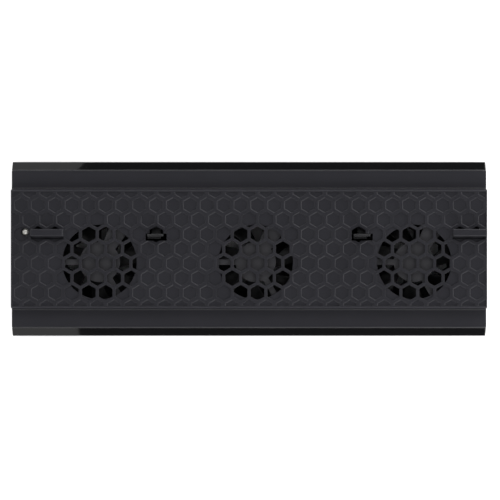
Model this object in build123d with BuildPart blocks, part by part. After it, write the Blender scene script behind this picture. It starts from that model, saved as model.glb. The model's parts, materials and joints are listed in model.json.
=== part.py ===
from build123d import *
import os
from math import atan2, cos, radians, sin, sqrt, tan

os.makedirs("parts", exist_ok=True)

# A cooling stand on which a slim game console stands on its side. Sizes are in millimetres.
# X runs along the stand, Y across it, and Z up from the floor under the rubber feet.

# Overall sizes
stand_length = 290.0
ledge_height = 22.0
deck_rise = 6.0
deck_width = 71.2
deck_draft = 1.0
ledge_width = 11.23
foot_proud = 2.5

# Walls and clearances
cover_wall = 1.8
ledge_wall = 2.0
end_wall = 2.0
floor_wall = 2.0
slip_gap = 0.25
deck_gap = 0.12
moving_gap = 0.3
seat_gap = 0.1
press_gap = 0.02

# Gloss side trims, a sloping shoulder above an upright face
trim_run = 5.4
trim_drop = 4.6
trim_wall = 1.6
trim_round = 1.2
trim_lift = 0.5
edge_bevel = 0.35

# Hexagon deck
hex_across = 8.5
hex_bar = 1.77
hex_lip = 0.1
cut_lip = 0.1
pocket_depth = 0.5
deck_wall = 2.4
deck_rim = 0.9
deck_edge_round = 0.4

# Snap tongues of the deck and the lip of the cover that they hold
lip_reach = 2.52
lip_wall = 2.0
tongue_ends = {-1: (15.0, 101.5), 1: (93.0, 11.0)}
tongue_width = 8.0
tongue_wall = 1.5
tongue_barb = 1.1
tongue_barb_wall = 1.2

# Fans
fan_ends = (54.0, 44.4)
fan_middle_shift = -0.7
fan_side_gap = 1.2
fan_size = 50.0
window_rim = 2.3
fan_depth = 10.0
fan_bore_wall = 1.2
fan_corner_round = 3.0
fan_hole_inset = 5.0
fan_flange = 2.0

# Motor base, struts and the cover over the lead
base_radius = 12.3
base_wall = 1.6
base_drop = 0.4
strut_depth = 1.9
strut_width = 3.5
strut_angles = (180.0, -60.0)
lead_cover_angle = 60.0
lead_cover_widths = (8.6, 11.6)
strut_overlap = 0.5

# Rotors and motors
hub_radius = 12.0
hub_wall = 1.1
hub_gap = 0.6
hub_lift = 0.5
hub_boss_radius = 2.2
hub_boss_height = 0.4
hub_round = 0.6
blade_count = 7
blade_wall = 1.0
blade_root = 11.4
blade_root_chord = 8.2
blade_root_pitch = 42.0
blade_gap = 1.5
blade_tip_chord = 12.6
blade_tip_pitch = 26.0
blade_sweep = 14.0
blade_lift = 4.0
magnet_wall = 1.0
magnet_height = 4.4
magnet_drop = 0.4
core_air_gap = 0.5
core_height = 2.4
core_lift = 3.8
core_ring_wall = 1.4
core_spoke = 2.0
core_shoe = 1.2
core_slot = 2.2
core_poles = 4
coil_wall = 1.0
coil_ends = (5.3, 7.8)
shaft_radius = 1.0
shaft_run_gap = 0.03
shaft_end_gap = 0.4
bearing_wall = 1.5
bearing_height = 4.6
tube_wall = 0.9
tube_gap = 0.7
drive_board_wall = 0.6
drive_board_radius = 9.0

# Posts and screws
post_radius = 2.0
post_gap = 0.15
post_short = 0.4
screw_radius = 1.3
screw_head_ratio = 1.9
screw_head_wall = 1.5
screw_recess_width = 0.6
screw_recess_depth = 0.8
head_room = 0.4
pilot_room = 0.4
fan_screw_length = 7.0
hook_screw_length = 4.0
case_screw_length = 9.0
case_screw_end = 49.0
case_screw_side = 6.85
case_boss_radius = 3.3
case_pad_radius = 4.6
case_pad_height = 2.0

# Console ribs and the grooves beside them
rib_width = 4.4
rib_height = 3.5
rib_bevel = 0.5
rib_line = 9.9
rib_lengths = (19.9, 20.8)
rib_ends = (12.1, 0.3)
groove_width = 1.6
groove_depth = 1.0

# Console hooks
hook_gaps = {"left": 9.1, "right": 7.0}
hook_line = 7.6
hook_wall = 2.9
hook_length = 9.9
hook_height = 6.0
hook_blade_wall = 1.45
hook_head = 3.2
hook_head_reach = 1.8
hook_base_drop = 1.4
hook_bevel = 0.3
hook_foot_width = 5.6
hook_foot_wall = 3.0
hook_foot_line = 20.5
hook_screw_line = 16.6
slot_shift = 0.35
slot_length = 12.8
slot_low = 5.1

# Sprung locating pin
pin_end = 9.0
pin_line = 10.3
pin_radius = 1.45
pin_proud = 3.0
pin_dome = 1.3
pin_neck_radius = 1.2
pin_neck_proud = 0.15
pin_travel = 2.8
pin_hole_radius = 2.4
pin_hole_shift = 0.6
pin_hole_depth = 1.6
pin_shank_radius = 2.2
pin_shank_drop = 1.7
pin_shank_length = 4.9
pin_flange_radius = 3.0
pin_flange_wall = 1.2
pin_tail_radius = 1.7
pin_tail_length = 2.6
pin_run_gap = 0.05
pin_guide_wall = 1.4
pin_guide_length = 13.0
pin_cap_wall = 1.6
pin_cap_plug = 1.6
spring_radius = 2.2
spring_wire_radius = 0.2
spring_turns = 4.5

# Circuit board at the right-hand end
board_wall = 1.2
board_length = 12.5
board_ends = (-29.0, 7.0)
board_lift = 1.0
board_end_gap = 0.5
board_screw_offsets = [(-3.45, -14.6), (2.75, 3.0), (2.75, -14.6)]
board_screw_radius = 1.0
board_screw_length = 3.2
board_post_radius = 2.6

# Power inlet, button and switch on the circuit board
inlet_line = -8.0
inlet_size = 7.0
inlet_length = 9.0
inlet_collar_radius = 3.1
inlet_bore_radius = 1.9
inlet_bore_depth = 8.0
contact_radius = 0.65
contact_short = 1.0
button_line = -21.7
button_radius = 3.0
button_proud = 1.3
button_travel = 1.0
button_round = 0.35
button_flange_radius = 3.9
button_flange_wall = 1.0
button_stem_radius = 1.5
button_stem_length = 5.2
switch_length = 8.0
switch_width = 7.0
switch_set_back = 2.8

# Fan leads and their sockets on the board
lead_radius = 0.6
lead_bend = 1.2
lead_groove_width = 1.4
lead_drop_gap = 5.5
lead_lane_gaps = {"left": 8.6, "middle": 5.8, "right": 3.0}
lead_turn_gaps = {"left": 5.0, "middle": 7.0, "right": 9.0}
lead_sockets = {"left": 4.0, "middle": -0.2, "right": -4.4}
lead_rise_gap = 2.4
socket_size = (3.2, 3.6, 3.6)
comb_shares = (-0.19, -0.052, 0.155, 0.328)
comb_length = 5.0
comb_width = 9.0
comb_height = 2.0
comb_gap = 0.1

# Rubber feet
foot_end = 21.0
foot_side = 6.85
foot_size = (26.0, 10.0)
foot_round = 3.0
foot_recess = 0.5

# Levels, lines and places that follow from the sizes above
deck_top = ledge_height + deck_rise
deck_under = deck_top - deck_wall
slab_top = deck_top - pocket_depth
ledge_under = ledge_height - ledge_wall
floor_under = foot_proud
floor_top = floor_under + floor_wall
half_length = stand_length / 2
end_inner = half_length - end_wall
deck_half = deck_width / 2
skirt_foot = deck_half + deck_draft
skirt_inner = deck_half - deck_rim / 2
opening_half = skirt_foot + deck_gap
lip_line = opening_half - lip_reach
ledge_edge = opening_half + ledge_width
trim_face = ledge_edge + trim_run
trim_slope = atan2(trim_drop, trim_run)
trim_inner = trim_face - trim_wall
cover_face = trim_inner - seat_gap
cover_inner = cover_face - cover_wall
tongue_places = [end * (half_length - inset) for end, insets in tongue_ends.items() for inset in insets]
cell_pitch = hex_across + hex_bar
cell_reach = hex_across / sqrt(3)
row_step = cell_pitch * sqrt(3) / 2
fan_places = {
    "left": fan_ends[0] - half_length,
    "middle": (fan_ends[0] - fan_ends[1]) / 2 + fan_middle_shift,
    "right": half_length - fan_ends[1],
}
fan_line = fan_size / 2 + fan_side_gap - lip_line
window_radius = fan_size / 2 - window_rim
fan_bore_radius = fan_size / 2 - fan_bore_wall
fan_hole_pitch = fan_size - 2 * fan_hole_inset
blade_tip = fan_bore_radius - blade_gap
fan_top = deck_under
fan_under = fan_top - fan_depth
base_top = fan_top - base_drop
base_under = base_top - base_wall
hub_top = base_under - hub_gap
hub_under = fan_under + hub_lift
hub_floor = hub_under + hub_wall
tube_under = hub_floor + tube_gap
magnet_radius = hub_radius - hub_wall - press_gap
core_radius = magnet_radius - magnet_wall - core_air_gap
core_under = hub_under + core_lift - core_height / 4
bearing_radius = shaft_radius + shaft_run_gap + bearing_wall
tube_radius = bearing_radius + press_gap + tube_wall
post_hole_radius = post_radius + post_gap
rib_spans = (
    (rib_ends[0] - half_length, rib_ends[0] + rib_lengths[0] - half_length),
    (half_length - rib_ends[1] - rib_lengths[1], half_length - rib_ends[1]),
)
hook_places = {
    "left": fan_places["left"] + fan_size / 2 + hook_gaps["left"],
    "right": fan_places["right"] - fan_size / 2 - hook_gaps["right"],
}
pin_place = (pin_end - half_length, pin_line)
pin_hole_place = (pin_place[0] - pin_hole_shift, pin_line)
case_screw_places = [
    (x, y)
    for x in (case_screw_end - half_length, 0, half_length - case_screw_end)
    for y in (case_screw_side - cover_inner, cover_inner - case_screw_side)
]
foot_places = [
    (x, y)
    for x in (foot_end - half_length, half_length - foot_end)
    for y in (foot_side - cover_inner, cover_inner - foot_side)
]
lead_level = base_top - strut_depth + lead_radius + seat_gap
lead_drop_reach = fan_size / 2 + lead_drop_gap
lead_drop_line = fan_line + lead_drop_reach * sin(radians(lead_cover_angle))
lead_lanes = {side: lead_drop_line + gap for side, gap in lead_lane_gaps.items()}
comb_places = [share * stand_length for share in comb_shares]
board_under = floor_top + board_lift
board_top = board_under + board_wall
board_place = end_inner - board_end_gap - board_length / 2
board_edge = board_place - board_length / 2
board_screw_places = [(board_place + x, y) for x, y in board_screw_offsets]
lead_turns = {side: board_edge - gap for side, gap in lead_turn_gaps.items()}
lead_rise_place = board_edge - lead_rise_gap
inlet_level = board_top + inlet_size / 2
button_level = board_top + button_flange_radius + moving_gap
slot_high = hook_line + hook_wall / 2 + slip_gap


def shoulder_level(inset, line):
    """Height at the distance line of a plane set in by inset from the trim's shoulder."""
    return ledge_height - inset / cos(trim_slope) - (line - ledge_edge) * tan(trim_slope)


def cell_over(place):
    """The cell of the first row behind the centre line that lies nearest to a place along X."""
    return (cell_pitch * (round(place / cell_pitch - 0.5) + 0.5), row_step)


def meets(cell, area):
    """Whether a cell reaches into a rectangular area."""
    across, along = abs(cell[0] - area[0]), abs(cell[1] - area[1])
    return across < (area[2] + hex_across) / 2 + cut_lip and along < area[3] / 2 + cell_reach + cut_lip


def is_whole(cell):
    """Whether a cell lies wholly inside the deck's rim."""
    inside = abs(cell[0]) + hex_across / 2 < half_length - deck_rim
    return inside and abs(cell[1]) + cell_reach < deck_half - deck_rim


def near_fan(cell, radius):
    """Whether a cell's centre lies within a radius of a fan's centre."""
    return any(sqrt((cell[0] - x) ** 2 + (cell[1] - fan_line) ** 2) < radius for x in fan_places.values())


def hexagons(places, across):
    """Upright hexagons at the places, drawn in the open sketch."""
    with Locations(*places):
        RegularPolygon(across / 2, 6, major_radius=False, rotation=30)


def holed_face(outline, *patterns):
    """One flat face with a hole for each face of the patterns."""
    return Face(outline.face().outer_wire(), [face.outer_wire() for shape in patterns for face in shape.faces()])


def pillars(radius, low, high, places):
    """Upright round pillars between two levels."""
    with BuildPart() as made:
        with BuildSketch(Plane.XY.offset(low)):
            with Locations(*places):
                Circle(radius)
        extrude(amount=high - low)
    return made.part


def screws(radius, length, seat, places, rise=1):
    """Pan-head screws with their heads against the seat level, pointing up or down."""
    head_face = seat - rise * screw_head_wall
    with BuildPart() as made:
        with BuildSketch(Plane.XY.offset(seat)):
            with Locations(*places):
                Circle(radius * screw_head_ratio)
        extrude(amount=-rise * screw_head_wall)
        with BuildSketch(Plane.XY.offset(seat)):
            with Locations(*places):
                Circle(radius)
        extrude(amount=rise * length)
        with BuildSketch(Plane.XY.offset(head_face)):
            with Locations(*places):
                Rectangle(2 * radius, screw_recess_width)
                Rectangle(screw_recess_width, 2 * radius)
        extrude(amount=rise * screw_recess_depth, mode=Mode.SUBTRACT)
    return made.part


def save(part, name):
    """Write one named piece."""
    part.label = name
    export_step(part, f"parts/{name}.step")


# Cells of the deck, and the areas of the cut-outs that run across them
rows = round(deck_half / row_step)
columns = round(half_length / cell_pitch)
cells = [
    (cell_pitch * (column + row % 2 / 2), row_step * row)
    for row in range(-rows, rows + 1)
    for column in range(-columns, columns + 1)
]
slot_areas = [
    (place + slot_shift, (slot_low + slot_high) / 2, slot_length, slot_high - slot_low)
    for place in hook_places.values()
]
groove_line = rib_line - rib_width / 2 - groove_width / 2
groove_areas = [
    ((left + min(right, half_length - deck_rim)) / 2, groove_line,
     min(right, half_length - deck_rim) - left, groove_width)
    for left, right in rib_spans
]
pin_area = (*pin_hole_place, 2 * pin_hole_radius, 2 * pin_hole_radius)
cut_areas = [*slot_areas, *groove_areas, pin_area]
rib_areas = [((left + right) / 2, rib_line, right - left, rib_width) for left, right in rib_spans]
crossed = [cell for cell in cells if any(meets(cell, area) for area in cut_areas)]
plain = [cell for cell in cells if is_whole(cell) and cell not in crossed]
clipped = [cell for cell in cells if not is_whole(cell) and cell not in crossed]
hook_cells = [cell_over(place) for place in hook_places.values()]
rib_cells = [
    cell for cell in cells
    if cell[1] == row_step and is_whole(cell) and any(left < cell[0] < right for left, right in rib_spans)
]
fan_centres = [(place, fan_line) for place in fan_places.values()]
fan_posts = [
    (x + i * fan_hole_pitch / 2, y + j * fan_hole_pitch / 2)
    for x, y in fan_centres for i in (-1, 1) for j in (-1, 1)
]
hook_posts = [(place + slot_shift, hook_screw_line) for place in hook_places.values()]

# Pockets of the lattice: whole ones, those that a cut-out runs across, and those at the rim
with BuildSketch(Plane.XY.offset(slab_top)) as plain_pockets:
    hexagons(plain, hex_across)
with BuildSketch(Plane.XY.offset(slab_top)) as crossed_pockets:
    hexagons(crossed, hex_across)
    Rectangle(stand_length - 2 * deck_rim, deck_width - 2 * deck_rim, mode=Mode.INTERSECT)
    for x, y, length, width in (*slot_areas, *groove_areas):
        with Locations((x, y)):
            Rectangle(length + 2 * cut_lip, width + 2 * cut_lip)
    with Locations(pin_hole_place):
        Circle(pin_hole_radius + cut_lip)
with BuildSketch(Plane.XY.offset(slab_top)) as clipped_pockets:
    hexagons(clipped, hex_across)
    Rectangle(stand_length - 2 * deck_rim, deck_width - 2 * deck_rim, mode=Mode.INTERSECT)
with BuildSketch(Plane.XY.offset(slab_top)) as lattice_outline:
    Rectangle(stand_length - deck_rim, deck_width - deck_rim)

# Openings through the deck: three fan grilles, the hook slots and the cells beside the ribs
with BuildSketch(Plane.XY.offset(deck_under)) as window_openings:
    hexagons([cell for cell in cells if near_fan(cell, window_radius + cell_reach)], hex_across - 2 * hex_lip)
    with Locations(*fan_centres):
        Circle(window_radius, mode=Mode.INTERSECT)
with BuildSketch(Plane.XY.offset(deck_under)) as cut_openings:
    hexagons(rib_cells, hex_across - 2 * hex_lip)
    with Locations((0, rib_line + rib_width / 2 + cell_reach / 2)):
        Rectangle(stand_length, cell_reach, mode=Mode.INTERSECT)
    hexagons(hook_cells, hex_across - 2 * hex_lip)
    for x, y, length, width in slot_areas:
        with Locations((x, y)):
            Rectangle(length, width)

# Raised ribs on the deck
with BuildPart() as ribs:
    with BuildSketch(Plane.XY.offset(slab_top)):
        for x, y, length, width in rib_areas:
            with Locations((x, y)):
                Rectangle(length, width)
    extrude(amount=pocket_depth + rib_height)
    chamfer(ribs.faces().sort_by(Axis.Z)[-2:].edges(), rib_bevel)

# Levels of the pin and of its guide under the deck
pin_shank_top = deck_top - pin_shank_drop
pin_shank_under = pin_shank_top - pin_shank_length
pin_flange_under = pin_shank_under - pin_flange_wall
guide_bore_radius = pin_flange_radius + moving_gap
guide_radius = guide_bore_radius + pin_guide_wall
guide_under = deck_under - pin_guide_length
cap_top = guide_under + pin_cap_plug

# Hexagon deck: a lattice of pockets over a slab, with skirts, snap tongues, posts and the pin's guide
with BuildPart() as hex_deck:
    with BuildSketch(Plane.XY.offset(deck_under)):
        Rectangle(stand_length - deck_rim, deck_width - deck_rim)
    extrude(amount=deck_wall - pocket_depth)
    with BuildSketch(Plane.YZ.offset(-half_length)) as skirt:
        with BuildLine():
            Polyline(
                (skirt_inner, ledge_height),
                (skirt_foot, ledge_height),
                (deck_half, deck_top),
                (skirt_inner, deck_top),
                close=True,
            )
        make_face()
        fillet(skirt.vertices().group_by(Axis.Y)[-1].sort_by(Axis.X)[-1], deck_edge_round)
        mirror(about=Plane.YZ)
    extrude(amount=stand_length)
    with BuildSketch(Plane.YZ.offset(-end_inner + slip_gap)):
        with Locations(((skirt_inner + skirt_foot) / 2, (ledge_height + ledge_under) / 2)):
            Rectangle(skirt_foot - skirt_inner, ledge_wall)
        mirror(about=Plane.YZ)
    extrude(amount=2 * (end_inner - slip_gap))
    with BuildSketch(Plane.XZ.offset(-skirt_inner)):
        with BuildLine():
            Polyline(
                (end_inner, ledge_height),
                (half_length, ledge_height),
                (half_length, deck_top - edge_bevel),
                (half_length - edge_bevel, deck_top),
                (half_length - deck_rim / 2, deck_top),
                (half_length - deck_rim / 2, deck_under),
                (end_inner, deck_under),
                close=True,
            )
        make_face()
        mirror(about=Plane.YZ)
    extrude(amount=2 * skirt_inner)
    # Snap tongues along both sides
    for place in tongue_places:
        with BuildSketch(Plane.YZ.offset(place - tongue_width / 2)):
            with BuildLine():
                Polyline(
                    (lip_line - slip_gap, slab_top),
                    (lip_line - slip_gap, ledge_under - lip_wall - slip_gap),
                    (lip_line - slip_gap + tongue_barb, ledge_under - lip_wall - slip_gap),
                    (lip_line - slip_gap, ledge_under - lip_wall - slip_gap - tongue_barb_wall),
                    (lip_line - slip_gap - tongue_wall, ledge_under - lip_wall - slip_gap - tongue_barb_wall),
                    (lip_line - slip_gap - tongue_wall, slab_top),
                    close=True,
                )
            make_face()
            mirror(about=Plane.YZ)
        extrude(amount=tongue_width)
    add(pillars(post_radius, fan_under + post_short, deck_under, fan_posts))
    add(pillars(post_radius, deck_under - hook_foot_wall + post_short, deck_under, hook_posts))
    add(pillars(guide_radius, guide_under, deck_under, [pin_place]))
    add(ribs.part)
    add(
        pillars(screw_radius + press_gap, fan_under, fan_under + fan_screw_length + pilot_room, fan_posts),
        mode=Mode.SUBTRACT,
    )
    add(
        pillars(
            screw_radius + press_gap,
            deck_under - hook_foot_wall,
            deck_under - hook_foot_wall + hook_screw_length + pilot_room / 2,
            hook_posts,
        ),
        mode=Mode.SUBTRACT,
    )
    add(
        pillars(guide_bore_radius, guide_under, pin_shank_under + moving_gap, [pin_place]),
        mode=Mode.SUBTRACT,
    )
    add(
        pillars(pin_shank_radius + pin_run_gap, guide_under, deck_top - pin_hole_depth, [pin_place]),
        mode=Mode.SUBTRACT,
    )
    for x, y, length, width in groove_areas:
        with BuildSketch(Plane.XY.offset(deck_top - groove_depth)):
            with Locations((x, y)):
                Rectangle(length, width)
        extrude(amount=groove_depth - pocket_depth, mode=Mode.SUBTRACT)
    add(
        pillars(pin_hole_radius, deck_top - pin_hole_depth, slab_top, [pin_hole_place]),
        mode=Mode.SUBTRACT,
    )
    extrude(cut_openings.sketch, amount=deck_wall - pocket_depth, mode=Mode.SUBTRACT)
    extrude(window_openings.sketch, amount=deck_wall - pocket_depth, mode=Mode.SUBTRACT)
    extrude(
        holed_face(
            lattice_outline.sketch, plain_pockets.sketch, crossed_pockets.sketch, clipped_pockets.sketch,
        ),
        amount=pocket_depth,
        clean=False,
    )
save(hex_deck.part, "hex_deck")

# Top cover: two ledges with shoulders, side walls and end walls around the deck's opening
trim_inset = trim_wall + seat_gap
inner_inset = trim_inset + cover_wall
shoulder_end = ledge_edge + (ledge_wall - inner_inset / cos(trim_slope)) / tan(trim_slope)
case_seat = floor_under + screw_head_wall + head_room
case_pad_top = floor_top + case_pad_height
with BuildPart() as top_cover:
    with BuildSketch(Plane.YZ.offset(-half_length)):
        with BuildLine():
            Polyline(
                (0, floor_under),
                (cover_face, floor_under),
                (cover_face, shoulder_level(trim_inset, cover_face)),
                (ledge_edge, shoulder_level(trim_inset, ledge_edge)),
                (ledge_edge, ledge_height - edge_bevel),
                (ledge_edge - edge_bevel, ledge_height),
                (0, ledge_height),
                close=True,
            )
        make_face()
        mirror(about=Plane.YZ)
    extrude(amount=stand_length)
    with BuildSketch(Plane.YZ.offset(-end_inner)):
        with BuildLine():
            Polyline(
                (0, floor_under),
                (cover_inner, floor_under),
                (cover_inner, shoulder_level(inner_inset, cover_inner)),
                (shoulder_end, ledge_under),
                (opening_half + ledge_wall, ledge_under),
                (opening_half + ledge_wall, ledge_under - lip_wall),
                (lip_line, ledge_under - lip_wall),
                (lip_line, ledge_under),
                (opening_half, ledge_under),
                (opening_half, ledge_height),
                (0, ledge_height),
                close=True,
            )
        make_face()
        mirror(about=Plane.YZ)
    extrude(amount=2 * end_inner, mode=Mode.SUBTRACT)
    add(pillars(case_boss_radius, case_pad_top, ledge_under + seat_gap, case_screw_places))
    add(
        pillars(
            screw_radius + press_gap, case_pad_top, case_seat + case_screw_length + pilot_room, case_screw_places
        ),
        mode=Mode.SUBTRACT,
    )
    with BuildSketch(Plane.YZ.offset(end_inner)):
        with Locations((inlet_line, inlet_level)):
            Circle(inlet_collar_radius + seat_gap)
        with Locations((button_line, button_level)):
            Circle(button_radius + moving_gap)
    extrude(amount=end_wall, mode=Mode.SUBTRACT)
save(top_cover.part, "top_cover")

# Gloss trims, bonded over the cover's shoulders and side walls
trim_top_line = ledge_edge + seat_gap
for name, side in (("rear", 1), ("front", -1)):
    with BuildPart() as side_trim:
        with BuildSketch(Plane.YZ.offset(-half_length)) as trim_section:
            with BuildLine():
                Polyline(
                    (side * trim_top_line, shoulder_level(0, trim_top_line)),
                    (side * trim_face, shoulder_level(0, trim_face)),
                    (side * trim_face, floor_under + trim_lift),
                    (side * trim_inner, floor_under + trim_lift),
                    (side * trim_inner, shoulder_level(trim_wall, trim_inner)),
                    (side * trim_top_line, shoulder_level(trim_wall, trim_top_line)),
                    close=True,
                )
            make_face()
            outer = trim_section.vertices().filter_by_position(Axis.Y, ledge_height - trim_drop - seat_gap,
                                                               ledge_height - trim_drop + seat_gap)
            fillet(outer.sort_by_distance((side * trim_face, ledge_height - trim_drop))[0], trim_round)
        extrude(amount=stand_length)
    save(side_trim.part, f"{name}_side_trim")

# Bottom cover: intake grilles, screw pads, lead combs and posts for the circuit board
intake_cells = [cell for cell in cells if near_fan(cell, window_radius - cell_reach)]
with BuildSketch(Plane.XY.offset(floor_under)) as floor_outline:
    Rectangle(2 * (end_inner - slip_gap), 2 * (cover_inner - slip_gap))
with BuildSketch(Plane.XY.offset(floor_under)) as intake_openings:
    hexagons(intake_cells, hex_across)
with BuildPart() as bottom_cover:
    extrude(holed_face(floor_outline.sketch, intake_openings.sketch), amount=floor_wall)
    add(pillars(case_pad_radius, floor_top, case_pad_top, case_screw_places))
    add(pillars(board_post_radius, floor_top, board_under, board_screw_places))
    for place in comb_places:
        with BuildSketch(Plane.XY.offset(floor_top)):
            with Locations((place, lead_lanes["middle"])):
                Rectangle(comb_length, comb_width)
            for lane in lead_lanes.values():
                with Locations((place, lane)):
                    Rectangle(comb_length, 2 * (lead_radius + comb_gap), mode=Mode.SUBTRACT)
        extrude(amount=comb_height)
    add(
        pillars(screw_radius * screw_head_ratio + slip_gap, floor_under, case_seat, case_screw_places),
        mode=Mode.SUBTRACT,
    )
    add(pillars(screw_radius + post_gap, case_seat, case_pad_top, case_screw_places), mode=Mode.SUBTRACT)
    add(
        pillars(
            board_screw_radius + press_gap,
            board_top - board_screw_length - pilot_room,
            board_under,
            board_screw_places,
        ),
        mode=Mode.SUBTRACT,
    )
    with BuildSketch(Plane.XY.offset(floor_under)):
        with Locations(*foot_places):
            RectangleRounded(*foot_size, foot_round)
    extrude(amount=foot_recess, mode=Mode.SUBTRACT)
save(bottom_cover.part, "bottom_cover")

# Rubber feet in their recesses
with BuildPart() as rubber_feet:
    with BuildSketch(Plane.XY):
        with Locations(*foot_places):
            RectangleRounded(foot_size[0] - 2 * seat_gap, foot_size[1] - 2 * seat_gap, foot_round - seat_gap)
    extrude(amount=foot_proud + foot_recess)
save(rubber_feet.part, "rubber_feet")

# Console hooks: a blade with a head along the stand, on a base in its slot, and a foot clamped under the deck
hook_low = hook_line - hook_wall / 2
hook_high = hook_line + hook_wall / 2
head_under = deck_top + hook_height - hook_head
foot_under = deck_under - hook_foot_wall
for name, place in hook_places.items():
    blade_start = place - hook_length / 2
    blade_end = place + hook_length / 2
    foot_place = place + slot_shift
    with BuildPart() as hook:
        with BuildSketch(Plane.XZ.offset(-hook_high)):
            with BuildLine():
                Polyline(
                    (blade_start, foot_under),
                    (blade_end - hook_head_reach, foot_under),
                    (blade_end - hook_head_reach, head_under),
                    (blade_end, head_under),
                    (blade_end, deck_top + hook_height),
                    (blade_start, deck_top + hook_height),
                    close=True,
                )
            make_face()
        extrude(amount=hook_blade_wall)
        chamfer(hook.faces().sort_by(Axis.Z)[-1].edges(), hook_bevel)
        with BuildSketch(Plane.XZ.offset(-hook_high)):
            with BuildLine():
                Polyline(
                    (blade_start, foot_under),
                    (blade_end - hook_head_reach, foot_under),
                    (blade_end - hook_head_reach, deck_top - hook_base_drop),
                    (blade_start, deck_top - hook_base_drop),
                    close=True,
                )
            make_face()
        extrude(amount=hook_wall)
        with BuildSketch(Plane.XY.offset(foot_under)):
            with Locations((foot_place, (hook_low + hook_foot_line) / 2)):
                Rectangle(hook_foot_width, hook_foot_line - hook_low)
            with Locations((foot_place, hook_screw_line)):
                Circle(post_hole_radius, mode=Mode.SUBTRACT)
        extrude(amount=hook_foot_wall)
    save(hook.part, f"{name}_hook")

# Screws
save(screws(screw_radius, fan_screw_length, fan_under, fan_posts), "fan_screws")
save(screws(screw_radius, hook_screw_length, deck_under - hook_foot_wall, hook_posts), "hook_screws")
save(screws(screw_radius, case_screw_length, case_seat, case_screw_places), "case_screws")
save(screws(board_screw_radius, board_screw_length, board_top, board_screw_places, -1), "board_screws")

# Sprung pin, with a rounded free end above a neck
pin_x = pin_place[0]
with BuildPart() as locating_pin:
    with BuildSketch(Plane.XZ.offset(-pin_place[1])) as pin_section:
        with BuildLine():
            Polyline(
                (pin_x, deck_top + pin_proud),
                (pin_x, pin_flange_under - pin_tail_length),
                (pin_x + pin_tail_radius, pin_flange_under - pin_tail_length),
                (pin_x + pin_tail_radius, pin_flange_under),
                (pin_x + pin_flange_radius, pin_flange_under),
                (pin_x + pin_flange_radius, pin_shank_under),
                (pin_x + pin_shank_radius, pin_shank_under),
                (pin_x + pin_shank_radius, pin_shank_top),
                (pin_x + pin_neck_radius, pin_shank_top),
                (pin_x + pin_neck_radius, deck_top + pin_neck_proud),
                (pin_x + pin_radius, deck_top + pin_neck_proud),
                (pin_x + pin_radius, deck_top + pin_proud),
                close=True,
            )
        make_face()
        fillet(pin_section.vertices().group_by(Axis.Y)[-1].sort_by(Axis.X)[-1], pin_dome)
    revolve(axis=Axis((*pin_place, 0), (0, 0, 1)))
save(locating_pin.part, "locating_pin")

# Retainer cap pressed into the guide
with BuildPart() as pin_retainer:
    add(pillars(guide_radius, guide_under - pin_cap_wall, guide_under, [pin_place]))
    add(pillars(guide_bore_radius - press_gap, guide_under, cap_top, [pin_place]))
save(pin_retainer.part, "pin_retainer")

# Coil spring between the retainer and the pin's flange
spring_low = cap_top + spring_wire_radius
spring_rise = pin_flange_under - spring_wire_radius - spring_low
spring_pitch = spring_rise / spring_turns
with BuildPart() as pin_spring:
    with BuildLine() as coil:
        Helix(spring_pitch, spring_rise, spring_radius, center=(*pin_place, spring_low))
    with BuildSketch(Plane(coil.line @ 0, z_dir=coil.line % 0)):
        Circle(spring_wire_radius)
    sweep(is_frenet=True)
save(pin_spring.part, "pin_spring")
print("spring coil gap", round(spring_pitch - 2 * spring_wire_radius, 3))

# Circuit board and the parts on it
with BuildPart() as circuit_board:
    with BuildSketch(Plane.XY.offset(board_under)):
        with Locations((board_place, sum(board_ends) / 2)):
            Rectangle(board_length, board_ends[1] - board_ends[0])
        with Locations(*board_screw_places):
            Circle(board_screw_radius + post_gap, mode=Mode.SUBTRACT)
    extrude(amount=board_wall)
save(circuit_board.part, "circuit_board")

socket_place = board_edge + socket_size[0] / 2
socket_level = board_top + socket_size[2] / 2
with BuildPart() as lead_socket_row:
    with BuildSketch(Plane.XY.offset(board_top)):
        with Locations(*[(socket_place, line) for line in lead_sockets.values()]):
            Rectangle(socket_size[0], socket_size[1])
    extrude(amount=socket_size[2])
    with BuildSketch(Plane.YZ.offset(socket_place - socket_size[0] / 2)):
        with Locations(*[(line, socket_level) for line in lead_sockets.values()]):
            Circle(lead_radius + seat_gap)
    extrude(amount=socket_size[0] / 2, mode=Mode.SUBTRACT)
save(lead_socket_row.part, "lead_sockets")

# Power inlet: body, collar in the end wall, bore and centre contact
with BuildPart() as power_inlet:
    with BuildSketch(Plane.YZ.offset(end_inner - inlet_length)):
        with Locations((inlet_line, inlet_level)):
            Rectangle(inlet_size, inlet_size)
    extrude(amount=inlet_length)
    with BuildSketch(Plane.YZ.offset(end_inner)):
        with Locations((inlet_line, inlet_level)):
            Circle(inlet_collar_radius)
    extrude(amount=end_wall)
    with BuildSketch(Plane.YZ.offset(half_length - inlet_bore_depth)):
        with Locations((inlet_line, inlet_level)):
            Circle(inlet_bore_radius)
    extrude(amount=inlet_bore_depth, mode=Mode.SUBTRACT)
save(power_inlet.part, "power_inlet")
with BuildPart() as inlet_contact:
    with BuildSketch(Plane.YZ.offset(half_length - inlet_bore_depth)):
        with Locations((inlet_line, inlet_level)):
            Circle(contact_radius)
    extrude(amount=inlet_bore_depth - contact_short)
save(inlet_contact.part, "inlet_contact")

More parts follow.
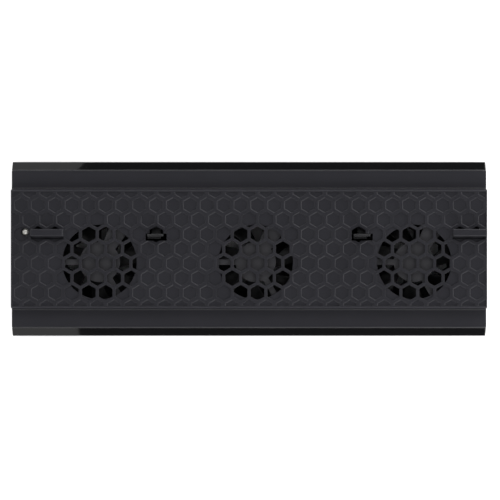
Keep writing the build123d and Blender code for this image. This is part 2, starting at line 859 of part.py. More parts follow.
# Power button with a flange behind the end wall and a stem in the switch
button_flange_face = end_inner - moving_gap
button_flange_back = button_flange_face - button_flange_wall
switch_face = end_inner - switch_set_back
with BuildPart() as power_button:
    with BuildSketch(Plane.YZ.offset(button_flange_back)):
        with Locations((button_line, button_level)):
            Circle(button_radius)
    extrude(amount=half_length + button_proud - button_flange_back)
    fillet(power_button.faces().sort_by(Axis.X)[-1].edges(), button_round)
    with BuildSketch(Plane.YZ.offset(button_flange_back)):
        with Locations((button_line, button_level)):
            Circle(button_flange_radius)
    extrude(amount=button_flange_wall)
    with BuildSketch(Plane.YZ.offset(button_flange_back - button_stem_length)):
        with Locations((button_line, button_level)):
            Circle(button_stem_radius)
    extrude(amount=button_stem_length)
save(power_button.part, "power_button")
stem_reach = switch_face - (button_flange_back - button_stem_length)
with BuildPart() as power_switch:
    with BuildSketch(Plane.YZ.offset(switch_face - switch_length)):
        with Locations((button_line, button_level)):
            Rectangle(switch_width, 2 * (button_level - board_top))
    extrude(amount=switch_length)
    with BuildSketch(Plane.YZ.offset(switch_face - stem_reach - button_travel - moving_gap)):
        with Locations((button_line, button_level)):
            Circle(button_stem_radius + pin_run_gap)
    extrude(amount=stem_reach + button_travel + moving_gap, mode=Mode.SUBTRACT)
save(power_switch.part, "power_switch")

# Fan frame: flanges, a round duct, motor base, struts, the cover over the lead and the bearing tube
strut_start = base_radius - strut_overlap
strut_end = fan_bore_radius + strut_overlap
with BuildPart() as fan_frame:
    for level in (fan_under, fan_top - fan_flange):
        with BuildSketch(Plane.XY.offset(level)):
            RectangleRounded(fan_size, fan_size, fan_corner_round)
            Circle(fan_bore_radius, mode=Mode.SUBTRACT)
            with GridLocations(fan_hole_pitch, fan_hole_pitch, 2, 2):
                Circle(post_hole_radius, mode=Mode.SUBTRACT)
        extrude(amount=fan_flange)
    with BuildSketch(Plane.XY.offset(fan_under)):
        Circle(fan_size / 2)
        Circle(fan_bore_radius, mode=Mode.SUBTRACT)
    extrude(amount=fan_depth)
    with BuildSketch(Plane.XY.offset(base_top)):
        for angle in strut_angles:
            with PolarLocations((strut_start + strut_end) / 2, 1, start_angle=angle):
                Rectangle(strut_end - strut_start, strut_width)
        with PolarLocations(0, 1, start_angle=lead_cover_angle):
            Polygon(
                (strut_start, -lead_cover_widths[0] / 2),
                (strut_end, -lead_cover_widths[1] / 2),
                (strut_end, lead_cover_widths[1] / 2),
                (strut_start, lead_cover_widths[0] / 2),
                align=None,
            )
    extrude(amount=-strut_depth)
    with BuildSketch(Plane.XY.offset(base_top)):
        Circle(base_radius)
    extrude(amount=-base_wall)
    with BuildSketch(Plane.XY.offset(base_under)):
        Circle(tube_radius)
        Circle(bearing_radius + press_gap, mode=Mode.SUBTRACT)
    extrude(amount=tube_under - base_under)
    with BuildSketch(Plane.XY.offset(base_top - strut_depth)):
        with PolarLocations((drive_board_radius + lead_drop_reach) / 2, 1, start_angle=lead_cover_angle):
            Rectangle(lead_drop_reach - drive_board_radius, lead_groove_width)
    extrude(amount=2 * lead_radius + 2 * seat_gap, mode=Mode.SUBTRACT)

# Fan blade, lofted from its root in the hub wall to its tip
blade_level = fan_under + blade_lift
blade_turn = radians(blade_sweep)
with BuildPart() as fan_blade:
    with BuildSketch(Plane((blade_root, 0, blade_level), x_dir=(0, 1, 0), z_dir=(1, 0, 0))):
        Rectangle(blade_root_chord, blade_wall, rotation=blade_root_pitch)
    with BuildSketch(
        Plane(
            (blade_tip * cos(blade_turn), blade_tip * sin(blade_turn), blade_level),
            x_dir=(-sin(blade_turn), cos(blade_turn), 0),
            z_dir=(cos(blade_turn), sin(blade_turn), 0),
        )
    ):
        Rectangle(blade_tip_chord, blade_wall, rotation=blade_tip_pitch)
    loft()

# Rotor: a cup-shaped hub with a boss for the shaft, and the blades
with BuildPart() as fan_rotor:
    with BuildSketch(Plane.XY.offset(hub_under)):
        Circle(hub_radius)
    extrude(amount=hub_top - hub_under)
    fillet(fan_rotor.faces().sort_by(Axis.Z)[0].edges(), hub_round)
    with PolarLocations(0, blade_count):
        add(fan_blade.part)
    with BuildSketch(Plane.XY.offset(hub_floor)):
        Circle(hub_radius - hub_wall)
        Circle(hub_boss_radius, mode=Mode.SUBTRACT)
    extrude(amount=hub_top - hub_floor, mode=Mode.SUBTRACT)
    with BuildSketch(Plane.XY.offset(hub_floor + hub_boss_height)):
        Circle(hub_boss_radius)
    extrude(amount=hub_top - hub_floor, mode=Mode.SUBTRACT)
    with BuildSketch(Plane.XY.offset(hub_under)):
        Circle(shaft_radius + press_gap)
    extrude(amount=hub_wall + hub_boss_height, mode=Mode.SUBTRACT)

# Motor pieces: shaft, magnet ring, bearing, laminated core, coils and drive board
with BuildPart() as fan_shaft:
    with BuildSketch(Plane.XY.offset(hub_under)):
        Circle(shaft_radius)
    extrude(amount=base_under - shaft_end_gap - hub_under)
with BuildPart() as magnet_ring:
    with BuildSketch(Plane.XY.offset(hub_top - magnet_drop)):
        Circle(magnet_radius)
        Circle(magnet_radius - magnet_wall, mode=Mode.SUBTRACT)
    extrude(amount=-magnet_height)
with BuildPart() as fan_bearing:
    with BuildSketch(Plane.XY.offset(base_under)):
        Circle(bearing_radius)
        Circle(shaft_radius + shaft_run_gap, mode=Mode.SUBTRACT)
    extrude(amount=-bearing_height)
core_bore = tube_radius + press_gap
with BuildPart() as motor_core:
    with BuildSketch(Plane.XY.offset(core_under)):
        Circle(core_radius)
        Circle(core_radius - core_shoe, mode=Mode.SUBTRACT)
        with PolarLocations(core_radius, core_poles, start_angle=180 / core_poles):
            Rectangle(2 * core_shoe + core_slot, core_slot, mode=Mode.SUBTRACT)
        with PolarLocations((core_bore + core_radius - core_shoe / 2) / 2, core_poles):
            Rectangle(core_radius - core_shoe / 2 - core_bore, core_spoke)
        Circle(core_bore + core_ring_wall)
        Circle(core_bore, mode=Mode.SUBTRACT)
    extrude(amount=core_height)
coil_middle = (coil_ends[0] + coil_ends[1]) / 2
coil_length = coil_ends[1] - coil_ends[0]
with BuildPart() as motor_coils:
    with BuildSketch(Plane.XY.offset(core_under - coil_wall)):
        with PolarLocations(coil_middle, core_poles):
            Rectangle(coil_length, core_spoke + 2 * coil_wall)
    extrude(amount=core_height + 2 * coil_wall)
    with BuildSketch(Plane.XY.offset(core_under - press_gap)):
        with PolarLocations(coil_middle, core_poles):
            Rectangle(coil_length, core_spoke + 2 * press_gap)
    extrude(amount=core_height + 2 * press_gap, mode=Mode.SUBTRACT)
with BuildPart() as drive_board:
    with BuildSketch(Plane.XY.offset(base_under)):
        Circle(drive_board_radius)
        Circle(core_bore, mode=Mode.SUBTRACT)
    extrude(amount=-drive_board_wall)

fan_pieces = {
    "frame": fan_frame,
    "rotor": fan_rotor,
    "shaft": fan_shaft,
    "magnet_ring": magnet_ring,
    "bearing": fan_bearing,
    "core": motor_core,
    "coils": motor_coils,
    "drive_board": drive_board,
}
for side, place in fan_places.items():
    for name, piece in fan_pieces.items():
        save(Pos(place, fan_line, 0) * piece.part, f"{side}_fan_{name}")

# Fan leads, from the drive board under its cover, down beside the frame and along the floor to the board
lead_start = drive_board_radius + 2 * seat_gap
floor_level = floor_top + lead_radius
for side, place in fan_places.items():
    turn = radians(lead_cover_angle)
    start = (place + lead_start * cos(turn), fan_line + lead_start * sin(turn))
    drop = (place + lead_drop_reach * cos(turn), fan_line + lead_drop_reach * sin(turn))
    lane, bend, socket = lead_lanes[side], lead_turns[side], lead_sockets[side]
    with BuildPart() as fan_lead:
        with BuildLine() as route:
            FilletPolyline(
                (*start, lead_level),
                (*drop, lead_level),
                (*drop, floor_level),
                (drop[0], lane, floor_level),
                (bend, lane, floor_level),
                (bend, socket, floor_level),
                (lead_rise_place, socket, floor_level),
                (lead_rise_place, socket, socket_level),
                (socket_place, socket, socket_level),
                radius=lead_bend,
            )
        with BuildSketch(Plane(route.line @ 0, z_dir=route.line % 0)):
            Circle(lead_radius)
        sweep()
    save(fan_lead.part, f"{side}_fan_lead")
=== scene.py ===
import json
from math import cos, pi, radians, sin

import bmesh
import bpy
import numpy as np
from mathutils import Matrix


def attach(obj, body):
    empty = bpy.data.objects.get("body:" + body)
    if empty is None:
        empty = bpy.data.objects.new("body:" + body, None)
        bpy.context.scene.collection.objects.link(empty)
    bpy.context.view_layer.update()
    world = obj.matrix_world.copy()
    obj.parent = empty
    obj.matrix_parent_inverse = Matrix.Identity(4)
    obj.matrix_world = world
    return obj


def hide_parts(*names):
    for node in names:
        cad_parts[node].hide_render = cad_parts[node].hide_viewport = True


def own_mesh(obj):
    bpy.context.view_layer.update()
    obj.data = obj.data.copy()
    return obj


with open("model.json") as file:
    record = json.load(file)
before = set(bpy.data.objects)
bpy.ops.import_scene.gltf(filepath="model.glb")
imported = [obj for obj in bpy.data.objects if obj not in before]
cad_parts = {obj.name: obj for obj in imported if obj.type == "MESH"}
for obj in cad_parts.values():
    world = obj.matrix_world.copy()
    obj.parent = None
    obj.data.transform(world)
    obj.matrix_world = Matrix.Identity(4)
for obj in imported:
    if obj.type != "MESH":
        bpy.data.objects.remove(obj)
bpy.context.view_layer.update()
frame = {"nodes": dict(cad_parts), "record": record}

# The stand's own places and sizes, in metres, as in the part's source
DECK_TOP = 0.0280
LEDGE_TOP = 0.0220
LEDGE_EDGE = 0.04797
HALF_LENGTH = 0.1450
HALF_WIDTH = 0.0534
HALF_ACROSS = 0.0085 / 2
CELL_PITCH = 0.01027
ROW_STEP = CELL_PITCH * 3 ** 0.5 / 2
POCKET_FLOOR = 0.0275
WINDOW_RADIUS = 0.0227
FANS = {"left": (-0.0910, -0.0080), "middle": (0.0041, -0.0080), "right": (0.1006, -0.0080)}

# How far the walls of a pocket lean in, and how far from a fan window the pockets have to be for it
DRAFT = 0.00048
WINDOW_MARGIN = 1.4 * DRAFT

# Tolerances by which the points of the CAD meshes are merged and found again
MERGE_DISTANCE = 2e-6
FLAT_ANGLE = 0.4
NEAR = 2e-5
NEAR_ARC = 3e-5
SLIGHT_SLOPE = 0.1

# Beads on the ledges: the line of the inner pair, the run of their ends, and how they taper and sit there
BEAD_LINE = 0.03695
BEAD_END_GAP = 0.0004
BEAD_END_RUN = 0.0010
BEAD_END_WIDTH = 0.3
BEAD_SUNK = 0.00006

# Stage: places and sizes in metres
FLOOR_REACH = 6
FLOOR_GLOW = 0.70
UNDER_GLOW = 0.25
# How far inside and outside the stand's outline the floor's painted shadow fades
SHADE_INSIDE, SHADE_OUTSIDE = -0.004, 0.002
SKY_LIGHT, SKY_SEEN = 0.22, 1.0
FLAG_DISTANCE = 1.05
FLAG_LOW, FLAG_HIGH, FLAG_END = 0.02, 0.32, 0.27
FLAG_EDGE_HEIGHT = 0.144
CEILING_REACH, CEILING_HEIGHT = 0.95, 1.6

# Camera: the photo's width in pixels, its scale at the deck, and the place of the lens over the deck
PHOTO_PIXELS = 500.0
DECK_SCALE = 0.0006086
CAMERA_ASIDE = (0.00062, -0.00067)
CAMERA_ABOVE_DECK = 1.370
SENSOR_WIDTH = 36.0

BEHAVIOUR = frame["record"]["behaviour"]
BODY_OF = {node: body for body, nodes in BEHAVIOUR["bodies"].items() for node in nodes}
SLOT_OF = {entry["node"]: entry["material_slot"] for entry in frame["record"]["subparts"]}


# ---------------------------------------------------------------- shader groups

def put(tree, kind, links=None, **values):
    """A node in a tree with its properties set and its inputs fed. links maps an input to a socket or a number."""
    node = tree.nodes.new(kind)
    for name, value in values.items():
        setattr(node, name, value)
    for name, source in (links or {}).items():
        if isinstance(source, bpy.types.NodeSocket):
            tree.links.new(source, node.inputs[name])
        else:
            node.inputs[name].default_value = source
    return node


def maths(tree, operation, *terms, clamp=False):
    """The result of a Math node on one or two terms, each a socket or a number."""
    node = put(tree, "ShaderNodeMath", dict(enumerate(terms)), operation=operation, use_clamp=clamp)
    return node.outputs[0]


def node_group(name, inputs, outputs):
    """An empty shader node group with named float or vector sockets, and its input and output nodes."""
    tree = bpy.data.node_groups.new(name, "ShaderNodeTree")
    for label, kind, value in inputs:
        socket = tree.interface.new_socket(label, in_out="INPUT", socket_type=kind)
        if value is not None:
            socket.default_value = value
    for label, kind in outputs:
        tree.interface.new_socket(label, in_out="OUTPUT", socket_type=kind)
    return tree, tree.nodes.new("NodeGroupInput").outputs, tree.nodes.new("NodeGroupOutput").inputs


def moulded_grain():
    """Spark-eroded grain of moulded plastic: fine noise and a cell pattern as a height, and slow clouds as a mask."""
    tree, given, result = node_group(
        "moulded_grain",
        [("Vector", "NodeSocketVector", None), ("Scale", "NodeSocketFloat", 3000.0)],
        [("Height", "NodeSocketFloat"), ("Clouds", "NodeSocketFloat")],
    )
    place, scale = given["Vector"], given["Scale"]
    fine = put(tree, "ShaderNodeTexNoise", {"Vector": place, "Scale": scale, "Detail": 2.0})
    cells = put(tree, "ShaderNodeTexVoronoi", {"Vector": place, "Scale": scale})
    slow = put(tree, "ShaderNodeTexNoise", {"Vector": place, "Scale": 45.0, "Detail": 3.0})
    tree.links.new(maths(tree, "ADD", fine.outputs["Fac"], cells.outputs["Distance"]), result["Height"])
    tree.links.new(slow.outputs["Fac"], result["Clouds"])
    return tree


def dust_specks():
    """Sparse light specks: the middles of a few of the cells of a Voronoi pattern."""
    tree, given, result = node_group(
        "dust_specks",
        [("Vector", "NodeSocketVector", None), ("Scale", "NodeSocketFloat", 60.0),
         ("Radius", "NodeSocketFloat", 0.02), ("Share", "NodeSocketFloat", 0.04)],
        [("Mask", "NodeSocketFloat")],
    )
    cells = put(tree, "ShaderNodeTexVoronoi", {"Vector": given["Vector"], "Scale": given["Scale"]})
    near = maths(tree, "LESS_THAN", cells.outputs["Distance"], given["Radius"])
    split = put(tree, "ShaderNodeSeparateColor", {"Color": cells.outputs["Color"]})
    few = maths(tree, "LESS_THAN", split.outputs["Red"], given["Share"])
    tree.links.new(maths(tree, "MULTIPLY", near, few), result["Mask"])
    return tree


def tool_marks():
    """Fine lines of turned or drawn metal: noise stretched along one axis."""
    tree, given, result = node_group(
        "tool_marks",
        [("Vector", "NodeSocketVector", None), ("Stretch", "NodeSocketVector", (1.0, 1.0, 20.0)),
         ("Scale", "NodeSocketFloat", 900.0)],
        [("Height", "NodeSocketFloat")],
    )
    stretched = put(tree, "ShaderNodeVectorMath", {0: given["Vector"], 1: given["Stretch"]}, operation="MULTIPLY")
    lines = put(tree, "ShaderNodeTexNoise",
                {"Vector": stretched.outputs[0], "Scale": given["Scale"], "Detail": 2.0})
    tree.links.new(lines.outputs["Fac"], result["Height"])
    return tree


def worn_and_lit_edges():
    """Where a surface turns over an edge: one less the agreement of the rounded normal with the flat one. It also
    gives the rounded normal. The plastics lighten their edges by this mask, partly as wear and partly as a painted
    highlight."""
    tree, given, result = node_group(
        "worn_and_lit_edges",
        [("Radius", "NodeSocketFloat", 0.0004), ("Sharpness", "NodeSocketFloat", 3.0)],
        [("Mask", "NodeSocketFloat"), ("Normal", "NodeSocketVector")],
    )
    rounded = put(tree, "ShaderNodeBevel", {"Radius": given["Radius"]}, samples=4).outputs["Normal"]
    flat = put(tree, "ShaderNodeNewGeometry").outputs["True Normal"]
    agree = put(tree, "ShaderNodeVectorMath", {0: rounded, 1: flat}, operation="DOT_PRODUCT").outputs["Value"]
    turned = maths(tree, "SUBTRACT", 1.0, agree)
    tree.links.new(maths(tree, "MULTIPLY", turned, given["Sharpness"], clamp=True), result["Mask"])
    tree.links.new(rounded, result["Normal"])
    return tree


GRAIN = moulded_grain()
EDGE_WEAR_AND_HIGHLIGHT = worn_and_lit_edges()
SPECKS = dust_specks()
MARKS = tool_marks()


# ---------------------------------------------------------------- materials

def start_material(name):
    """A material with only a Principled shader and Object coordinates: (material, tree, shader, coordinates)."""
    material = bpy.data.materials.new(name)
    material.use_nodes = True
    tree = material.node_tree
    tree.nodes.clear()
    shader = put(tree, "ShaderNodeBsdfPrincipled")
    put(tree, "ShaderNodeOutputMaterial", {"Surface": shader.outputs[0]})
    place = put(tree, "ShaderNodeTexCoord").outputs["Object"]
    return material, tree, shader, place


def times(colour, factor):
    """A colour made lighter or darker, up to white."""
    return tuple(min(1.0, channel * factor) for channel in colour)


def blend_colour(tree, factor, first, second):
    """Mixes two colours by a factor socket."""
    mix = put(tree, "ShaderNodeMix", data_type="RGBA")
    tree.links.new(factor, mix.inputs[0])
    for socket, colour in ((mix.inputs[6], first), (mix.inputs[7], second)):
        if isinstance(colour, bpy.types.NodeSocket):
            tree.links.new(colour, socket)
        else:
            socket.default_value = (*colour, 1.0)
    return mix.outputs[2]


def dress(tree, shader, shade, pattern, roughness, spread, bump):
    """Feeds a Principled shader with a colour, with a roughness that a pattern varies by the share spread, and with
    the normal of a bump, whose inputs are given."""
    tree.links.new(shade, shader.inputs["Base Color"])
    gloss = put(tree, "ShaderNodeMapRange",
                {"Value": pattern, "To Min": roughness * (1 - spread), "To Max": roughness * (1 + spread)})
    tree.links.new(gloss.outputs[0], shader.inputs["Roughness"])
    tree.links.new(put(tree, "ShaderNodeBump", bump).outputs[0], shader.inputs["Normal"])


def plastic(name, colour, roughness, grain=3000.0, depth=0.00002, strength=0.35, specular=0.5, cloud=0.12,
            dust=0.0, edge_wear_and_highlight=1.5):
    """Moulded plastic: grain in its height, slow clouds in its shade and gloss, lighter edges that are partly wear
    and partly a painted highlight, and a few specks of dust. The edge factor is how many times lighter the edges are
    than the rest."""
    material, tree, shader, place = start_material(name)
    texture = put(tree, "ShaderNodeGroup", {"Vector": place, "Scale": grain}, node_tree=GRAIN).outputs
    worn_and_lit = put(tree, "ShaderNodeGroup", node_tree=EDGE_WEAR_AND_HIGHLIGHT).outputs
    shade = blend_colour(tree, texture["Clouds"], times(colour, 1 - cloud), times(colour, 1 + cloud))
    # Edges lighter than the rest: partly wear, partly a painted highlight for the light that edges catch
    shade = blend_colour(tree, worn_and_lit["Mask"], shade, times(colour, edge_wear_and_highlight))
    if dust:
        specks = put(tree, "ShaderNodeGroup", {"Vector": place, "Share": dust}, node_tree=SPECKS)
        shade = blend_colour(tree, specks.outputs["Mask"], shade, (0.22, 0.22, 0.21))
    dress(tree, shader, shade, texture["Clouds"], roughness, 0.08,
          {"Strength": strength, "Distance": depth, "Height": texture["Height"], "Normal": worn_and_lit["Normal"]})
    shader.inputs["Specular IOR Level"].default_value = specular
    return material


def metal(name, colour, roughness, stretch=(1.0, 1.0, 20.0), metallic=1.0):
    """Turned or drawn metal with fine lines along or around it."""
    material, tree, shader, place = start_material(name)
    lines = put(tree, "ShaderNodeGroup", {"Vector": place, "Stretch": stretch}, node_tree=MARKS).outputs["Height"]
    rounded = put(tree, "ShaderNodeGroup", {"Radius": 0.0002}, node_tree=EDGE_WEAR_AND_HIGHLIGHT).outputs["Normal"]
    shade = blend_colour(tree, lines, times(colour, 0.85), times(colour, 1.1))
    dress(tree, shader, shade, lines, roughness, 0.2,
          {"Strength": 0.4, "Distance": 0.000004, "Height": lines, "Normal": rounded})
    shader.inputs["Metallic"].default_value = metallic
    return material


# Each plastic's edge factor lightens its edges, partly as wear and partly as a painted highlight
PLASTICS = {
    "deck_plastic": dict(colour=(0.0158, 0.0156, 0.0206), roughness=0.55, specular=0.30, dust=0.035, edge_wear_and_highlight=1.1),
    "shell_plastic": dict(colour=(0.0184, 0.0182, 0.0236), roughness=0.58, specular=0.30, dust=0.02),
    "gloss_trim": dict(colour=(0.0078, 0.0078, 0.0085), roughness=0.03, grain=700.0, strength=0.02,
                       specular=0.33, cloud=0.05),
    "foot_rubber": dict(colour=(0.0140, 0.0140, 0.0140), roughness=0.85, grain=2200.0, strength=0.6,
                        specular=0.3),
    "hook_plastic": dict(colour=(0.0120, 0.0120, 0.0135), roughness=0.45, specular=0.35, edge_wear_and_highlight=1.6),
    "button_plastic": dict(colour=(0.1250, 0.1250, 0.1170), roughness=0.45),
    "fan_plastic": dict(colour=(0.0065, 0.0065, 0.0075), roughness=0.42, grain=1800.0, specular=0.35, edge_wear_and_highlight=4.0),
    # frame_plastic is painted light: lighter than the deck's plastic so that the fan frames, in shade beneath the
    # grille, render as bright as the deck
    "frame_plastic": dict(colour=(0.0600, 0.0595, 0.0660), roughness=0.50, grain=1800.0, specular=0.35,
                          edge_wear_and_highlight=2.0),
    "socket_plastic": dict(colour=(0.0120, 0.0120, 0.0125), roughness=0.40),
    "board_laminate": dict(colour=(0.0100, 0.0700, 0.0300), roughness=0.35, grain=1200.0, strength=0.15),
    "magnet_ferrite": dict(colour=(0.0450, 0.0420, 0.0400), roughness=0.70),
    "lead_sleeve": dict(colour=(0.0130, 0.0130, 0.0135), roughness=0.50, grain=900.0),
}
METALS = {
    "screw_steel": dict(colour=(0.22, 0.22, 0.23), roughness=0.38),
    "pin_steel": dict(colour=(0.46, 0.455, 0.43), roughness=0.38, metallic=0.5),
    "spring_steel": dict(colour=(0.60, 0.60, 0.60), roughness=0.25),
    "shaft_steel": dict(colour=(0.62, 0.62, 0.62), roughness=0.18),
    "core_steel": dict(colour=(0.32, 0.33, 0.35), roughness=0.45, stretch=(1.0, 1.0, 60.0)),
    "contact_metal": dict(colour=(0.80, 0.62, 0.34), roughness=0.25),
    "bearing_bronze": dict(colour=(0.55, 0.38, 0.20), roughness=0.50),
    "coil_copper": dict(colour=(0.70, 0.28, 0.12), roughness=0.35, stretch=(1.0, 1.0, 40.0)),
}
FINISH = {name: plastic(name, **look) for name, look in PLASTICS.items()}
FINISH.update({name: metal(name, **look) for name, look in METALS.items()})

for name, node in frame["nodes"].items():
    node.data.materials.clear()
    node.data.materials.append(FINISH[SLOT_OF[name]])


# ---------------------------------------------------------------- moulded pieces with soft edges

def shown(name, data):
    """An object of the scene that holds a mesh, a lamp or a camera."""
    piece = bpy.data.objects.new(name, data)
    bpy.context.scene.collection.objects.link(piece)
    return piece


def merged_copy(node, reshape=None):
    """A copy of a CAD node with its points merged and its flat triangles joined. reshape takes the points as an
    (n, 3) array and gives them back moved."""
    mesh = frame["nodes"][node].data.copy()
    mesh.name = f"{node}_skin"
    imported = mesh.attributes.get("custom_normal")
    if imported:
        mesh.attributes.remove(imported)
    work = bmesh.new()
    work.from_mesh(mesh)
    bmesh.ops.remove_doubles(work, verts=work.verts, dist=MERGE_DISTANCE)
    bmesh.ops.dissolve_limit(work, angle_limit=radians(FLAT_ANGLE), verts=work.verts, edges=work.edges)
    if reshape:
        walls = [face for face in work.faces if abs(face.normal.z) < SLIGHT_SLOPE and len(face.verts) > 4]
        bmesh.ops.triangulate(work, faces=walls)
    work.to_mesh(mesh)
    work.free()
    if reshape:
        points = np.empty(3 * len(mesh.vertices))
        mesh.vertices.foreach_get("co", points)
        mesh.vertices.foreach_set("co", reshape(points.reshape(-1, 3)).ravel())
        mesh.update()
    piece = shown(f"{node}_skin", mesh)
    mesh.shade_smooth()
    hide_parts(node)
    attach(piece, BODY_OF[node])
    return piece


def softened(node, width, segments=2, reshape=None):
    """A merged copy of a CAD node with its edges rounded off and the shading of its flat faces kept flat."""
    piece = merged_copy(node, reshape)
    bevel = piece.modifiers.new("rounded_edges", "BEVEL")
    bevel.width = width
    bevel.segments = segments
    bevel.limit_method = "ANGLE"
    bevel.angle_limit = radians(32.0)
    even = piece.modifiers.new("even_normals", "WEIGHTED_NORMAL")
    even.weight = 100
    even.keep_sharp = True
    return piece


def nearest_cell(places):
    """The centre of the cell nearest to each place: the better of the two rows that it lies between."""
    low = np.floor(places[:, 1] / ROW_STEP)
    centres = []
    for row in (low, low + 1):
        odd = np.abs(row) % 2 / 2
        column = np.round(places[:, 0] / CELL_PITCH - odd)
        centres.append(np.stack([CELL_PITCH * (column + odd), ROW_STEP * row], axis=1))
    apart = [np.hypot(*(places - centre).T) for centre in centres]
    return np.where((apart[0] < apart[1])[:, None], centres[0], centres[1])


def sloped_pockets(points):
    """Slopes the walls of the blind hexagon pockets. A corner p of a pocket's floor, on two of the walls round the
    centre c, goes to c + (p - c) (1 - DRAFT / HALF_ACROSS). A point where one wall meets the deck's rim slides
    along the rim by DRAFT over the cosine of the angle between the wall's normal and the rim. A cell whose floor
    has any other point than these and those of a fan window is cut by a slot, and its walls stay upright, as do
    those within WINDOW_MARGIN of a fan window."""
    plan = points[:, :2]
    centre = nearest_cell(plan)
    offset = plan - centre
    normals = np.array([[cos(radians(t)), sin(radians(t))] for t in (0, 60, 120)])
    reach = offset @ normals.T
    on_wall = np.abs(np.abs(reach) - HALF_ACROSS) < NEAR
    walls_met = on_wall.sum(axis=1)
    on_floor = (np.abs(points[:, 2] - POCKET_FLOOR) < NEAR) & (np.abs(reach).max(axis=1) < HALF_ACROSS + NEAR)
    rim = np.abs(plan[on_floor]).max(axis=0)
    at_rim = on_floor[:, None] & (np.abs(np.abs(plan) - rim) < NEAR)
    inside = ~at_rim.any(axis=1)
    corner = on_floor & (walls_met == 2)

    from_fans = [np.hypot(points[:, 0] - x, points[:, 1] - y) for x, y in FANS.values()]
    at_window = on_floor & np.any([np.abs(away - WINDOW_RADIUS) < NEAR_ARC for away in from_fans], axis=0)
    away_from_window = np.all([away > WINDOW_RADIUS + WINDOW_MARGIN for away in from_fans], axis=0)
    cells, cell = np.unique(np.round(centre * 1e5).astype(int), axis=0, return_inverse=True)
    cell = cell.ravel()
    cut = np.bincount(cell[on_floor & ~corner & ~at_window & inside], minlength=len(cells)) > 0
    free = ~cut[cell] & away_from_window

    moved = points.copy()
    whole = corner & free & inside
    moved[whole, :2] = (centre + offset * (1 - DRAFT / HALF_ACROSS))[whole]
    for axis in (0, 1):
        other = 1 - axis
        for wall, normal in enumerate(normals):
            if abs(normal[other]) < SLIGHT_SLOPE:
                continue
            meets = at_rim[:, axis] & ~at_rim[:, other] & on_wall[:, wall] & (walls_met == 1) & free
            moved[meets, other] -= DRAFT * np.sign(reach[meets, wall]) / normal[other]
    return moved


softened("hex_deck", 0.00026, reshape=sloped_pockets)
softened("top_cover", 0.00025)
softened("front_side_trim", 0.00045, segments=3)
softened("rear_side_trim", 0.00045, segments=3)
softened("left_hook", 0.0003)
softened("right_hook", 0.0003)
softened("bottom_cover", 0.00025)
softened("rubber_feet", 0.0006)
for side in FANS:
    softened(f"{side}_fan_frame", 0.00025)
    softened(f"{side}_fan_rotor", 0.00025)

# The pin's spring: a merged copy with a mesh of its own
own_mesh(merged_copy("pin_spring"))


# ---------------------------------------------------------------- beads beside the deck

def ring_surface(name, rings):
    """A closed surface from an (n, m, 3) array of n rings of m points, with both ends closed."""
    count, around = rings.shape[:2]
    index = np.arange(count * around).reshape(count, around)
    right = np.roll(index, -1, axis=1)
    quads = np.stack([index[:-1], right[:-1], right[1:], index[1:]], axis=-1).reshape(-1, 4).tolist()
    ends = [index[0][::-1].tolist(), index[-1].tolist()]
    mesh = bpy.data.meshes.new(name)
    mesh.from_pydata(rings.reshape(-1, 3).tolist(), [], quads + ends)
    work = bmesh.new()
    work.from_mesh(mesh)
    bmesh.ops.recalc_face_normals(work, faces=work.faces)
    work.to_mesh(mesh)
    work.free()
    mesh.shade_smooth()
    return shown(name, mesh)


def cover_bead(name, side, line, half_width, height, node):
    """A low moulded bead along a ledge. At x along it and angle t round it, y = side (line + w e(x) cos t) and
    z = LEDGE_TOP + h s(x) sin t, with a flat underside BEAD_SUNK below the ledge. The height's share
    s(x) = sqrt(1 - r^2) falls to nothing over the last BEAD_END_RUN, of which r is the share gone by, and the
    width's share e(x) falls from 1 to BEAD_END_WIDTH with it."""
    length = HALF_LENGTH - BEAD_END_GAP
    turn = np.linspace(0, pi / 2, 9)
    ends = length - BEAD_END_RUN * (1 - np.sin(turn))
    x = np.concatenate([-ends[::-1], np.linspace(-ends[0], ends[0], 60)[1:-1], ends])
    gone_by = np.clip((np.abs(x) - (length - BEAD_END_RUN)) / BEAD_END_RUN, 0, 0.999)
    swell = np.sqrt(1 - gone_by ** 2)[:, None]
    t = np.linspace(0, pi, 13)
    across = np.concatenate([half_width * np.cos(t), [-half_width, half_width]])
    up = np.concatenate([height * np.sin(t), [-BEAD_SUNK, -BEAD_SUNK]])
    above = np.where(up > 0, up * swell, up)
    rings = np.stack([
        np.broadcast_to(x[:, None], above.shape),
        side * (line + across * (BEAD_END_WIDTH + (1 - BEAD_END_WIDTH) * swell)),
        LEDGE_TOP + above,
    ], axis=-1)
    piece = ring_surface(name, rings)
    piece.data.materials.append(HIGHLIGHT_BEAD_PLASTIC)
    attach(piece, BODY_OF[node])
    return piece


# The beads' plastic is much lighter than the cover's: a painted highlight for the light that their rounded tops catch
HIGHLIGHT_BEAD_PLASTIC = plastic("highlight_bead", (0.0410, 0.0405, 0.0445), 0.38, specular=0.35, strength=0.1)
for side, name in ((1, "rear"), (-1, "front")):
    cover_bead(f"{name}_cover_bead", side, BEAD_LINE, 0.00036, 0.00020, "top_cover")
    cover_bead(f"{name}_ledge_bead", side, LEDGE_EDGE, 0.00034, 0.00014, "top_cover")


# ---------------------------------------------------------------- floor, flags, lights and camera

def direct_rays(tree):
    """A Light Path node's outputs, and a mask of the rays of the camera, of reflections and through clear things."""
    path = put(tree, "ShaderNodeLightPath").outputs
    seen = maths(tree, "MAXIMUM", path["Is Camera Ray"], path["Is Glossy Ray"])
    return path, maths(tree, "MAXIMUM", seen, path["Is Transmission Ray"])


